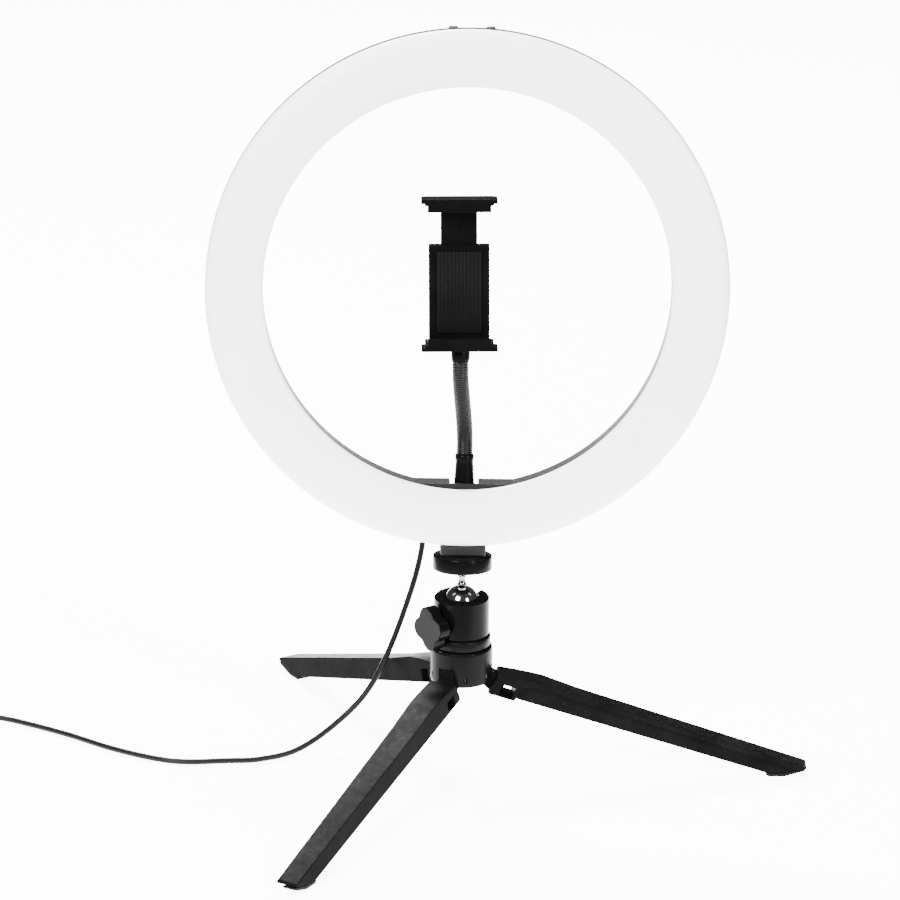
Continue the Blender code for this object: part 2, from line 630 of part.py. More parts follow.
def make_clamp(ring):
    clamp = empty("clamp_axis", ring, (CLAMP_X, 0, 0), (0, CLAMP_LEAN, 0))
    front = CLAMP_FRONT / MM
    low, high = LOWER_GRIP / MM, UPPER_GRIP / MM
    plate, block, lip = jaw_block(low, -1)
    wall = box_mesh("clamp_frame", (-15, front + 12.6, low - 3.0), (15, front + 18, 24))
    frame = add_piece("clamp_frame", wall, "plastic", clamp)
    for name, corners in (("frame_plate", plate), ("frame_block", block), ("frame_lip", lip)):
        boolean(frame, add_cutter(name, box_mesh(name, *corners), clamp), "UNION")
    channel = box_mesh("stem_channel", (-9.3, front + 14.4, low - 0.3), (9.3, front + 20, 30))
    boolean(frame, add_cutter("stem_channel", channel, clamp))
    corners = ((-12.2, low + 4), (12.2, 20))
    panel = box_mesh("clamp_cover", (-14.5, front + 18.3, low - 2.0), (14.5, front + 19.7, 23.6))
    cover = add_piece("clamp_cover", panel, "plastic", clamp)
    for i, (x, z) in enumerate(corners):
        spot = Matrix.Translation((x * MM, 0, z * MM))
        hole = moved(cylinder_mesh("hole", 1.5 * MM, (front + 15) * MM, (front + 21) * MM, 12, "Y"), spot)
        cutter = add_cutter(f"cover_hole_{i}", hole, clamp)
        boolean(cover, cutter)
        boolean(frame, cutter)
        screw = cylinder_mesh(f"clamp_screw_{i + 1}", 1.2 * MM, (front + 15.4) * MM, (front + 19.6) * MM, 12, "Y")
        add_piece(f"clamp_screw_{i + 1}", moved(screw, spot), "steel", clamp)
    bevel(cover, 0.4 * MM, 1, 60)

    plate, block, lip = jaw_block(high, 1)
    jaw = add_piece("upper_jaw", box_mesh("upper_jaw", (-9, front + 14.7, -10), (9, front + 17.7, high + 3.0)),
                    "plastic", clamp)
    for name, corners in (("jaw_plate", plate), ("jaw_block", block), ("jaw_lip", lip)):
        boolean(jaw, add_cutter(name, box_mesh(name, *corners), clamp), "UNION")

    inside = (front + 2.1, front + 12.3)
    add_piece("lower_jaw_pad", box_mesh("lower_jaw_pad", (-15.5, inside[0], low - 0.9), (15.5, inside[1], low)),
              "rubber", clamp)
    add_piece("upper_jaw_pad", box_mesh("upper_jaw_pad", (-15.5, inside[0], high), (15.5, inside[1], high + 0.9)),
              "rubber", clamp)
    add_piece("back_pad", box_mesh("back_pad", (-11, front + 11.3, low + 3), (11, front + 12.3, 21)), "rubber", clamp)
    turns, count = 6, 36
    points = []
    for i in range(count + 1):
        angle = 2 * math.pi * turns * i / count
        points.append(Vector((1.15 * math.cos(angle), front + 16.2 + 1.15 * math.sin(angle),
                              low + 0.4 + 11.2 * i / count)) * MM)
    add_piece("jaw_spring", tube_curve("jaw_spring", points, 0.28 * MM, resolution=0), "steel", clamp)


# ---------------------------------------------------------------- lead

def make_lead(surface):
    line = smooth_line([Vector(p) * MM for p in LEAD_ROUTE], 7.5 * MM)
    floor = Vector(LEAD_ROUTE[DROP_POINTS]) * MM
    split = min(range(len(line)), key=lambda i: (line[i] - floor).length)
    joint = (line[split + 1] - line[split]).normalized() * GAP
    add_piece("lead_drop", tube_curve("lead_drop", line[:split + 1], LEAD_R), "lead", surface)
    add_piece("lead_run", tube_curve("lead_run", [line[split] + joint] + line[split + 1:], LEAD_R), "lead", surface)
    to_box = smooth_line([Vector(p) * MM for p in LEAD_TO_CONTROLLER], 6 * MM)
    add_piece("lead_link", tube_curve("lead_link", to_box, LEAD_R), "lead", surface)
    tail = smooth_line([Vector(p) * MM for p in LEAD_TAIL], 5 * MM)
    add_piece("lead_tail", tube_curve("lead_tail", tail, LEAD_R), "lead", surface)
    inner, outer = COIL_RADII[0] / MM, COIL_RADII[1] / MM
    low, high = COIL_Z[0] / MM, COIL_Z[1] / MM
    centre = (COIL_CENTRE.x, COIL_CENTRE.y, 0)
    coil = [(outer - 1.2, high), (outer, high - 1.2), (outer, low + 1.2), (outer - 1.2, low),
            (inner + 1.2, low), (inner, low + 1.2), (inner, high - 1.2), (inner + 1.2, high)]
    turned("lead_coil", coil, "lead", surface, 28, closed=True, location=centre)
    make_tie(surface)
    make_controller(surface)
    make_plug(surface)


def make_tie(surface):
    """A flat strap round the coil's section, at its right-hand side."""
    inner, outer = COIL_RADII[0] / MM, COIL_RADII[1] / MM
    low, high = COIL_Z[0] / MM, COIL_Z[1] / MM
    outside = box_mesh("lead_tie", (inner - 1.1, -3.0, low - 1.1), (outer + 1.1, 3.0, high + 1.1))
    place = (COIL_CENTRE.x, COIL_CENTRE.y, 0)
    tie = add_piece("lead_tie", outside, "rubber", surface, place)
    bevel(tie, 0.5 * MM, 1, 60)
    inside = box_mesh("tie_inside", (inner - 0.5, -5.0, low - 0.35), (outer + 0.4, 5.0, high + 0.35))
    boolean(tie, add_cutter("tie_inside", inside, surface, place))


def make_controller(surface):
    """In-line control box: its length runs back, along Y."""
    box = empty("controller_axis", surface, (CONTROLLER.x, CONTROLLER.y, 0), (0, 0, 90))
    half, side = CONTROLLER_SIZE.x / MM / 2, CONTROLLER_SIZE.y / MM / 2
    bottom = add_piece("controller_bottom", box_mesh("controller_bottom", (-half, -side, 0.2), (half, side, 5.2)),
                       "plastic", box)
    bevel(bottom, 1.2 * MM, 2, 60)
    hollow = box_mesh("bottom_hollow", (-half + 1.5, -side + 1.5, 1.6), (half - 1.5, side - 1.5, 9))
    boolean(bottom, add_cutter("bottom_hollow", hollow, box))
    top = add_piece("controller_top", box_mesh("controller_top", (-half, -side, 5.5), (half, side, 10.0)),
                    "plastic", box)
    bevel(top, 1.2 * MM, 2, 60)
    hollow = box_mesh("top_hollow", (-half + 1.5, -side + 1.5, 3), (half - 1.5, side - 1.5, 8.5))
    boolean(top, add_cutter("top_hollow", hollow, box))
    board = box_mesh("controller_board", (-half + 3, -side + 2.5, 3.0), (half - 3, side - 2.5, 4.2))
    add_piece("controller_board", board, "board", box)
    buttons = (("button_power", -14.0), ("button_colour", 0.0), ("button_brightness", 14.0))
    for name, x in buttons:
        place = (x * MM, 0, 0)
        hole = cylinder_mesh("hole", 3.3 * MM, 6 * MM, 12 * MM, 20)
        boolean(top, add_cutter(f"{name}_hole", hole, box, place))
        turned(name, [(0, 11.0), (2.3, 11.0), (2.9, 10.5), (2.9, 5.4), (0, 5.4)], "button", box, 20, location=place)


def make_plug(surface):
    """USB plug, pointing to the front, its centre 4.6 mm above the surface."""
    plug = empty("plug_axis", surface, (PLUG.x, PLUG.y, 4.6 * MM), (0, 0, 180))
    grip = add_piece("plug_grip", box_mesh("plug_grip", (-7.6, 0.0, -4.1), (7.6, 22.0, 4.1)), "plastic", plug)
    bevel(grip, 1.6 * MM, 2, 60)
    shell = add_piece("plug_shell", box_mesh("plug_shell", (-6.0, 22.3, -2.25), (6.0, 34.0, 2.25)), "steel", plug)
    hollow = box_mesh("shell_hollow", (-5.6, 23.0, -1.85), (5.6, 40.0, 1.85))
    boolean(shell, add_cutter("shell_hollow", hollow, plug))
    add_piece("plug_tongue", box_mesh("plug_tongue", (-5.3, 23.3, -1.55), (5.3, 33.2, 0.2)), "button", plug)


# ---------------------------------------------------------------- whole object

def smooth_round_pieces():
    for obj in PARTS.objects:
        if obj.type == "MESH" and not any(m.type == "SCREW" for m in obj.modifiers):
            obj.data.shade_smooth()
            obj.data.set_sharp_from_angle(angle=math.radians(35))


def main():
    surface = empty("surface", None, (STAND_AXIS_X, STAND_AXIS_Y, 0))
    stand = empty("stand", surface, (0, 0, -STAND_DROP))
    head = empty("head", stand, (0, 0, BALL_Z), (-TILT_BACK, LEAN_RIGHT, 0))
    ring = empty("ring", head, (0, -RING_FORWARD, RING_RISE))
    make_tripod(stand)
    make_head(stand)
    make_ball(head)
    make_ring(ring)
    make_neck(ring)
    make_clamp(ring)
    make_lead(surface)
    smooth_round_pieces()
    bpy.context.view_layer.update()


clear_scene()
PARTS = new_collection("ring_light")
CUTTERS = new_collection("cutters")
main()
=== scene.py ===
"""Looks of the ring light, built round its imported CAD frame. Sizes are in millimetres times MM."""
import json
import math

import bmesh
import bpy
from mathutils import Euler, Matrix, Vector

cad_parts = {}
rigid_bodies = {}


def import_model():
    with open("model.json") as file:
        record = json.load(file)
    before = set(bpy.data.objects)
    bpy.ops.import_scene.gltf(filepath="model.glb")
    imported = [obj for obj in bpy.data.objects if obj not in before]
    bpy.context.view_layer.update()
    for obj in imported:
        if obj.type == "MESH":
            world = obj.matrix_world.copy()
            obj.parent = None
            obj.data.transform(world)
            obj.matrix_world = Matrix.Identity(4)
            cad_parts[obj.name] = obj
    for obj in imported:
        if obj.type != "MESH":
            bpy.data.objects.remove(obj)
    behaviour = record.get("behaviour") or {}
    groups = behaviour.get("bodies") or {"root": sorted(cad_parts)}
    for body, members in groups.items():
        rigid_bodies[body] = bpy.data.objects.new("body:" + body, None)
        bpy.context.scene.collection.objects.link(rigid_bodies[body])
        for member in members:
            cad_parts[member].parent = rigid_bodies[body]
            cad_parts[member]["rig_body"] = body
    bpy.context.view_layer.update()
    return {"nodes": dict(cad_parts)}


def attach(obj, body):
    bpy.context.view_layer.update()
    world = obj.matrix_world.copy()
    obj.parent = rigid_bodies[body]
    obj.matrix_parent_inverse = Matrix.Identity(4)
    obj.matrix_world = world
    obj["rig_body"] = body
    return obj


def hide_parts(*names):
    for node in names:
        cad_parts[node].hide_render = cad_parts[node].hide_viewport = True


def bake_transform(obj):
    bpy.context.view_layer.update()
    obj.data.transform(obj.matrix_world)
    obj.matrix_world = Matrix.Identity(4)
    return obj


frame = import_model()

MM = 0.001
AXIS = Vector((-23.59, 0.43, 0.0)) * MM
DROP = 2.2 * MM
BALL_Z = 96.3 * MM
SURFACE = Matrix.Translation(AXIS)
STAND = Matrix.Translation(AXIS - Vector((0, 0, DROP)))
HEAD = STAND @ Matrix.Translation((0, 0, BALL_Z)) @ Euler((math.radians(-7.2), math.radians(0.7),
                                                           0)).to_matrix().to_4x4()
RING = HEAD @ Matrix.Translation(Vector((0, -9.5, 160.4)) * MM)
CLAMP = RING @ Matrix.Translation((-4.4 * MM, 0, 0)) @ Matrix.Rotation(math.radians(-1.1), 4, "Y")
UP_TO_BACK = Matrix.Rotation(math.radians(-90), 4, "X")
LEAD_D = 2.9 * MM

CAMERA_PITCH, CAMERA_YAW, CAMERA_ROLL = 19.4177, 1.0662, 0.439
CAMERA_PLACE = Vector((-62.0, -3000.0, 1232.0)) * MM
CAMERA_LENS = 256.13
CAMERA_SHIFT = (-0.00056, 0.00056)

FLOOR_CORNERS, FLOOR_Z, FLOOR_COLOUR = ((-6, -6), (6, 6)), -0.002, 0.5
TABLE_CORNERS, TABLE_Z, TABLE_COLOUR = ((-0.36, -0.19), (0.36, 1.9)), -0.0005, 0.9
TABLE_GLOW = 8.0
WORLD_LIGHT = 0.10
# name, place, target, width, height and power of each soft box
SOFT_BOXES = (
    ("key", (-1.0, -1.5, 1.5), (0, 0, 0.2), 0.9, 0.9, 200),
    ("fill", (1.3, -1.5, 0.9), (0, 0, 0.18), 0.35, 1.0, 90),
    ("top", (0.1, 0.2, 1.9), (0, 0, 0.1), 0.9, 0.7, 60),
    ("rim", (-0.35, 1.2, 1.45), (-0.07, -0.08, 0.03), 0.7, 0.25, 110),
)


# ---------------------------------------------------------------- camera

def place_camera():
    pitch, yaw, roll = (math.radians(a) for a in (CAMERA_PITCH, CAMERA_YAW, CAMERA_ROLL))
    ahead = Vector((math.sin(yaw) * math.cos(pitch), math.cos(yaw) * math.cos(pitch), -math.sin(pitch)))
    right = Vector((math.cos(yaw), -math.sin(yaw), 0))
    up = right.cross(ahead)
    turned_right = right * math.cos(roll) + up * math.sin(roll)
    turned_up = up * math.cos(roll) - right * math.sin(roll)
    data = bpy.data.cameras.new("camera")
    data.sensor_width = 36.0
    data.lens = CAMERA_LENS
    data.shift_x, data.shift_y = CAMERA_SHIFT
    data.clip_start = 0.1
    data.clip_end = 50.0
    camera = bpy.data.objects.new("camera", data)
    bpy.context.scene.collection.objects.link(camera)
    axes = Matrix((turned_right, turned_up, -ahead)).transposed().to_4x4()
    camera.matrix_world = Matrix.Translation(AXIS + CAMERA_PLACE) @ axes
    bpy.context.scene.camera = camera


# ---------------------------------------------------------------- materials

def new_material(name):
    material = bpy.data.materials.new(name)
    material.use_nodes = True
    return material, material.node_tree, material.node_tree.nodes["Principled BSDF"]


def noise(tree, scale, detail=4.0, stretch=None):
    """A noise texture in the object's own space."""
    place = tree.nodes.new("ShaderNodeTexCoord")
    texture = tree.nodes.new("ShaderNodeTexNoise")
    texture.inputs["Scale"].default_value = scale
    texture.inputs["Detail"].default_value = detail
    source = place.outputs["Object"]
    if stretch:
        mapping = tree.nodes.new("ShaderNodeMapping")
        mapping.inputs["Scale"].default_value = stretch
        tree.links.new(source, mapping.inputs["Vector"])
        source = mapping.outputs["Vector"]
    tree.links.new(source, texture.inputs["Vector"])
    return texture.outputs["Fac"]


def ramp(tree, source, low, high, start, end):
    """source from low..high mapped to start..end."""
    node = tree.nodes.new("ShaderNodeMapRange")
    node.inputs["From Min"].default_value = low
    node.inputs["From Max"].default_value = high
    node.inputs["To Min"].default_value = start
    node.inputs["To Max"].default_value = end
    tree.links.new(source, node.inputs["Value"])
    return node.outputs["Result"]


def colour_mix(tree, factor, first, second):
    node = tree.nodes.new("ShaderNodeMix")
    node.data_type = "RGBA"
    tree.links.new(factor, node.inputs["Factor"])
    node.inputs["A"].default_value = (*first, 1)
    node.inputs["B"].default_value = (*second, 1)
    return node.outputs["Result"]


def bumps(tree, shader, layers):
    """Each layer is (noise source, strength, height in metres); the last one reaches the shader."""
    previous = None
    for source, strength, height in layers:
        bump = tree.nodes.new("ShaderNodeBump")
        bump.inputs["Strength"].default_value = strength
        bump.inputs["Distance"].default_value = height
        tree.links.new(source, bump.inputs["Height"])
        if previous:
            tree.links.new(previous, bump.inputs["Normal"])
        previous = bump.outputs["Normal"]
    tree.links.new(previous, shader.inputs["Normal"])


def surface(name, colour, roughness, metallic=0.0, grain=1500.0, relief=0.25, depth=0.03, vary=0.25,
            specks=0.0, specular=0.08, coat=0.0, stretch=None, top_specular=None):
    """A moulded or worked surface: grain in its relief, patches in its gloss, specks and shade changes.

    With top_specular, faces that point up are glossier than the sides.
    """
    material, tree, shader = new_material(name)
    patches = noise(tree, 55.0, 3.0)
    fine = noise(tree, grain, 5.0, stretch)
    wide = noise(tree, grain * 0.22, 3.0, stretch)
    darker = tuple(c * (1 - vary) for c in colour)
    lighter = tuple(min(1.0, c * (1 + vary) + 0.0004) for c in colour)
    shade = colour_mix(tree, ramp(tree, patches, 0.3, 0.7, 0.0, 1.0), darker, lighter)
    if specks:
        dust = tree.nodes.new("ShaderNodeMix")
        dust.data_type = "RGBA"
        tree.links.new(ramp(tree, noise(tree, grain * 0.6, 2.0), 0.62, 0.78, 0.0, specks),
                       dust.inputs["Factor"])
        tree.links.new(shade, dust.inputs["A"])
        dust.inputs["B"].default_value = (*(min(1.0, c * 3.0 + 0.004) for c in colour), 1)
        shade = dust.outputs["Result"]
    tree.links.new(shade, shader.inputs["Base Color"])
    tree.links.new(ramp(tree, wide, 0.3, 0.7, roughness * 0.86, min(1.0, roughness * 1.16)),
                   shader.inputs["Roughness"])
    shader.inputs["Metallic"].default_value = metallic
    shader.inputs["Specular IOR Level"].default_value = specular
    if top_specular:
        side = tree.nodes.new("ShaderNodeTexCoord")
        axes = tree.nodes.new("ShaderNodeSeparateXYZ")
        tree.links.new(side.outputs["Normal"], axes.inputs["Vector"])
        tree.links.new(ramp(tree, axes.outputs["Z"], 0.6, 0.9, specular, top_specular),
                       shader.inputs["Specular IOR Level"])
    shader.inputs["Coat Weight"].default_value = coat
    shader.inputs["Coat Roughness"].default_value = 0.08
    bumps(tree, shader, [(wide, relief * 0.6, depth * MM * 1.5), (fine, relief, depth * MM)])
    return material


def make_materials():
    """The finishes. The blacks are deeper than real plastic, to stay black beside the glowing table."""
    made = {
        "diffuser": surface("diffuser", (0.83, 0.83, 0.82), 0.38, grain=900, relief=0.06, depth=0.02,
                            vary=0.012, specular=0.4),
        "housing": surface("housing", (0.0085, 0.0085, 0.0092), 0.42, grain=2600, relief=0.22, depth=0.02,
                           vary=0.10),
        "plastic": surface("plastic", (0.0014, 0.0014, 0.0016), 0.30, grain=2200, relief=0.10, depth=0.012,
                           vary=0.18,
                           specular=0.03),
        "gloss": surface("gloss", (0.0013, 0.0013, 0.0015), 0.20, grain=1500, relief=0.05, depth=0.01,
                         vary=0.18,
                         specular=0.025),
        "leg": surface("leg", (0.0022, 0.0022, 0.0024), 0.36, grain=1100, relief=0.75, depth=0.09,
                       vary=0.25,
                       specks=0.5, specular=0.002, top_specular=0.009),
        "rubber": surface("rubber", (0.0018, 0.0018, 0.0020), 0.66, grain=3000, relief=0.35, depth=0.03,
                          vary=0.20,
                          specular=0.04),
        "neck": surface("neck", (0.0016, 0.0016, 0.0018), 0.36, grain=2600, relief=0.15, depth=0.015,
                        vary=0.20),
        "chrome": surface("chrome", (0.42, 0.42, 0.44), 0.09, 1.0, grain=700, relief=0.02, depth=0.004,
                          vary=0.03),
        "steel": surface("steel", (0.50, 0.50, 0.51), 0.27, 1.0, grain=1200, relief=0.12, depth=0.01,
                         vary=0.06, stretch=(1, 1, 9)),
        "dark_steel": surface("dark_steel", (0.02, 0.02, 0.021), 0.4, 1.0, grain=1200, relief=0.2,
                              depth=0.02, vary=0.1),
        "brass": surface("brass", (0.66, 0.47, 0.19), 0.28, 1.0, grain=1200, relief=0.12, depth=0.01,
                         vary=0.06, stretch=(1, 1, 9)),
        "board": surface("board", (0.78, 0.79, 0.78), 0.45, grain=1800, relief=0.10, depth=0.01, vary=0.03),
        "lead": surface("lead", (0.0016, 0.0016, 0.0018), 0.42, grain=2600, relief=0.18, depth=0.015,
                        vary=0.18),
        "button": surface("button", (0.50, 0.51, 0.52), 0.5, grain=2400, relief=0.18, depth=0.012,
                          vary=0.05),
    }
    return made


# ---------------------------------------------------------------- shapes

def show(name, mesh, matrix, finish, body, nodes=(), angle=32):
    """A new piece in place, riding on a body and standing for CAD nodes."""
    mesh.transform(matrix)
    mesh.materials.clear()
    mesh.materials.append(MATERIALS[finish])
    mesh.shade_smooth()
    mesh.set_sharp_from_angle(angle=math.radians(angle))
    obj = bpy.data.objects.new(name, mesh)
    bpy.context.scene.collection.objects.link(obj)
    if body:
        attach(obj, body)
    if nodes:
        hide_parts(*nodes)
    return obj


def weighted(obj):
    modifier = obj.modifiers.new("Weighted normals", "WEIGHTED_NORMAL")
    modifier.keep_sharp = True
    return obj


def to_mesh(bm, name):
    bmesh.ops.recalc_face_normals(bm, faces=bm.faces)
    mesh = bpy.data.meshes.new(name)
    bm.to_mesh(mesh)
    bm.free()
    return mesh


def lathe(name, outline, steps=96, closed=False):
    """Turned solid from (radius, height) in mm; an open outline starts and ends on the axis."""
    bm = bmesh.new()
    rows = []
    for r, z in outline:
        if r < 1e-6:
            rows.append([bm.verts.new((0, 0, z * MM))])
            continue
        rows.append([bm.verts.new((r * MM * math.cos(2 * math.pi * i / steps),
                                   r * MM * math.sin(2 * math.pi * i / steps),
                                   z * MM)) for i in range(steps)])
    pairs = list(zip(rows, rows[1:]))
    if closed:
        pairs.append((rows[-1], rows[0]))
    for a, b in pairs:
        for i in range(steps):
            j = (i + 1) % steps
            ring = [a[i % len(a)], a[j % len(a)], b[j % len(b)], b[i % len(b)]]
            corners = []
            for v in ring:
                if v not in corners:
                    corners.append(v)
            if len(corners) > 2:
                bm.faces.new(corners)
    return to_mesh(bm, name)


def box(name, low, high, width=0.3, segments=2):
    """A box between corners in mm with rounded edges."""
    bm = bmesh.new()
    bmesh.ops.create_cube(bm, size=1.0)
    low, high = Vector(low) * MM, Vector(high) * MM
    bmesh.ops.scale(bm, vec=high - low, verts=bm.verts)
    bmesh.ops.translate(bm, vec=(low + high) / 2, verts=bm.verts)
    if width:
        bmesh.ops.bevel(bm, geom=list(bm.edges), offset=width * MM, segments=segments, profile=0.5,
                        affect="EDGES")
    return to_mesh(bm, name)


def cut(mesh, *tools, operation="DIFFERENCE"):
    """mesh with the tools cut out of it or joined to it."""
    obj = bpy.data.objects.new("cut", mesh)
    bpy.context.scene.collection.objects.link(obj)
    helpers = []
    for tool in tools:
        other = bpy.data.objects.new("tool", tool)
        bpy.context.scene.collection.objects.link(other)
        helpers.append(other)
        modifier = obj.modifiers.new("cut", "BOOLEAN")
        modifier.operation = operation
        modifier.object = other
        modifier.solver = "EXACT"
    bpy.context.view_layer.update()
    evaluated = obj.evaluated_get(bpy.context.evaluated_depsgraph_get())
    made = bpy.data.meshes.new_from_object(evaluated)
    for other in [obj, *helpers]:
        bpy.data.objects.remove(other, do_unlink=True)
    return made


def placed(mesh, matrix):
    mesh.transform(matrix)
    return mesh


def refined(node, finish, width=0.3, segments=2, angle=28):
    """The CAD node's own shape with its hard edges rounded."""
    bm = bmesh.new()
    bm.from_mesh(frame["nodes"][node].data)
    bmesh.ops.remove_doubles(bm, verts=bm.verts, dist=0.000005)
    bmesh.ops.dissolve_limit(bm, angle_limit=math.radians(0.6), verts=bm.verts, edges=bm.edges)
    bmesh.ops.recalc_face_normals(bm, faces=bm.faces)
    edges = [e for e in bm.edges if len(e.link_faces) == 2 and e.calc_face_angle(0) > math.radians(angle)]
    if width and edges:
        bmesh.ops.bevel(bm, geom=edges, offset=width * MM, segments=segments, profile=0.5, affect="EDGES",
                        clamp_overlap=True)
    mesh = bpy.data.meshes.new(node + "_look")
    bm.to_mesh(mesh)
    bm.free()
    body = frame["nodes"][node]["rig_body"]
    return weighted(show(node + "_look", mesh, Matrix.Identity(4), finish, body, [node], 45))


def smooth_line(route, spacing):
    """Evenly spaced points on a Catmull-Rom curve through the route."""
    points = [Vector(p) for p in route]
    ends = [2 * points[0] - points[1]] + points + [2 * points[-1] - points[-2]]
    dense = []
    for i in range(1, len(ends) - 2):
        p0, p1, p2, p3 = ends[i - 1:i + 3]
        for k in range(16):
            t = k / 16
            dense.append(0.5 * (2 * p1 + (p2 - p0) * t + (2 * p0 - 5 * p1 + 4 * p2 - p3) * t * t
                                + (3 * p1 - p0 - 3 * p2 + p3) * t ** 3))
    dense.append(points[-1])
    lengths = [0.0]
    for a, b in zip(dense, dense[1:]):
        lengths.append(lengths[-1] + (b - a).length)
    count = max(2, round(lengths[-1] / spacing))
    line = []
    j = 0
    for i in range(count + 1):
        goal = lengths[-1] * i / count
        while j < len(dense) - 2 and lengths[j + 1] < goal:
            j += 1
        share = (goal - lengths[j]) / max(lengths[j + 1] - lengths[j], 1e-9)
        line.append(dense[j].lerp(dense[j + 1], share))
    return line


def tube(name, line, radii, sides=20):
    """A closed tube along a line, its cross-section kept from twisting."""
    bm = bmesh.new()
    ahead = (line[1] - line[0]).normalized()
    side = ahead.orthogonal().normalized()
    rows = []
    for i, point in enumerate(line):
        tangent = (line[min(i + 1, len(line) - 1)] - line[max(i - 1, 0)]).normalized()
        side = (side - tangent * side.dot(tangent)).normalized()
        other = tangent.cross(side)
        r = radii[i] if isinstance(radii, list) else radii
        rows.append([bm.verts.new(point + (side * math.cos(2 * math.pi * k / sides)
                                           + other * math.sin(2 * math.pi * k / sides)) * r)
                                           for k in range(sides)])
    for a, b in zip(rows, rows[1:]):
        for k in range(sides):
            m = (k + 1) % sides
            bm.faces.new((a[k], a[m], b[m], b[k]))
    bm.faces.new(list(reversed(rows[0])))
    bm.faces.new(rows[-1])
    return to_mesh(bm, name)


# ---------------------------------------------------------------- lead

DROP_ROUTE = (
    (-18.4, 35.2, 138.3), (-18.5, 44.0, 135.4), (-18.4, 50.2, 126.5), (-19.1, 50.8, 106.5),
    (-24.1, 49.5, 83.7), (-35.7, 46.5, 50.5), (-47.4, 42.0, 28.7), (-63.5, 35.0, 13.8),
    (-82.5, 25.5, 3.7), (-101.4, 17.8, 1.6), (-119.0, 15.6, 1.6), (-140.0, 14.2, 1.6),
    (-156.0, 19.2, 1.6), (-177.6, 32.5, 1.6), (-200.4, 51.0, 1.6), (-219.3, 64.2, 1.6),
    (-234.0, 72.0, 2.0), (-246.0, 73.5, 2.9), (-255.9, 71.5, 2.9),
)
LINK_ROUTE = ((-290.5, 106.3, 8.6), (-290.3, 113.0, 6.6), (-288.5, 123.6, 5.3))
TAIL_ROUTE = (
    (-288.5, 178.4, 5.3), (-288.4, 187.0, 3.5), (-283.0, 196.0, 1.9), (-274.0, 199.0, 1.6),
    (-266.0, 195.0, 2.6), (-262.2, 187.0, 4.3), (-262.0, 176.4, 4.6),
)
COIL_X, COIL_Y = -268.0, 94.0
COIL_START, COIL_SWEEP = 298.3, 3747.0
# Turns of the coil as (column, layer) cells, outer bottom to outer top
COIL_CELLS = ((3, 0), (2, 0), (1, 0), (0, 0), (0, 1), (0, 2), (1, 2), (2, 2), (2, 1), (3, 1), (3, 2))


def eased(value, start, end):
    t = min(1.0, max(0.0, (value - start) / (end - start)))
    return t * t * (3 - 2 * t)


def coil_points():
    """The coil, wound clockwise; each turn keeps to its cell, then steps to the next one."""
    steps, corners, last = [], 0, (-1, 0)
    for k, (here, there) in enumerate(zip(COIL_CELLS, COIL_CELLS[1:])):
        way = (there[0] - here[0], there[1] - here[1])
        if way != last:
            corners += 1
            last = way
        steps.append((360.0 * (k + 1) - 40.0 - 40.0 * corners, way))
    points = []
    count = int(COIL_SWEEP / 12)
    for i in range(1, count):
        sweep = COIL_SWEEP * i / count
        column, layer = COIL_CELLS[0]
        for start, way in steps:
            share = eased(sweep, start, start + 36.0)
            column += way[0] * share
            layer += way[1] * share
        radius = 13.5 + 3.0 * column + 3.0 * (1 - eased(sweep, 0.0, 70.0)) + 3.1 * eased(sweep,
                COIL_SWEEP - 50, COIL_SWEEP)
        angle = math.radians(COIL_START - sweep)
        points.append(Vector((COIL_X + radius * math.cos(angle), COIL_Y + radius * math.sin(angle),
                              2.7 + 3.0 * layer)))
    return points


def lay_lead():
    """The lead in stretches: three along its drop, the rest on the surface with its coil."""
    drop = smooth_line([AXIS + Vector(p) * MM for p in DROP_ROUTE], 2.0 * MM)
    touch = AXIS + Vector(DROP_ROUTE[9]) * MM
    end = min(range(len(drop)), key=lambda i: (drop[i] - touch).length)
    first, second = int(end * 0.28), int(end * 0.50)
    for i, (a, b) in enumerate(((0, first), (first, second), (second, end))):
        line = drop[a:b + 1]
        obj = show(f"lead_drop_{i + 1}", tube(f"lead_drop_{i + 1}", line, LEAD_D / 2), Matrix.Identity(4),
                   "lead", None,
                   ["lead_drop"], 60)
        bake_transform(obj)
    rest = [AXIS + p * MM for p in coil_points()]
    link = smooth_line([AXIS + Vector(p) * MM for p in LINK_ROUTE], 2.0 * MM)
    line = drop[end:] + rest + link
    main = show("lead_main", tube("lead_main", line, LEAD_D / 2, 14), Matrix.Identity(4), "lead", "base",
                ["lead_run", "lead_coil", "lead_link"], 60)
    tail = smooth_line([AXIS + Vector(p) * MM for p in TAIL_ROUTE], 2.0 * MM)
    end_piece = show("lead_end", tube("lead_end", tail, LEAD_D / 2), Matrix.Identity(4), "lead", "base",
                     ["lead_tail"],
                     60)
    return main, line, end_piece, tail


# ---------------------------------------------------------------- ring head

def cross_screw(radius, low, high, slot_depth=0.8):
    """A flat-headed screw along +Z in mm with a cross recess."""
    body = lathe("screw", [(0, high), (radius - 0.3, high), (radius, high - 0.3), (radius, low), (0, low)],
                 32)
    arm = radius * 0.62
    return cut(body, box("arm", (-arm, -0.3, high - slot_depth), (arm, 0.3, high + 1), 0),
               box("arm", (-0.3, -arm, high - slot_depth), (0.3, arm, high + 1), 0))


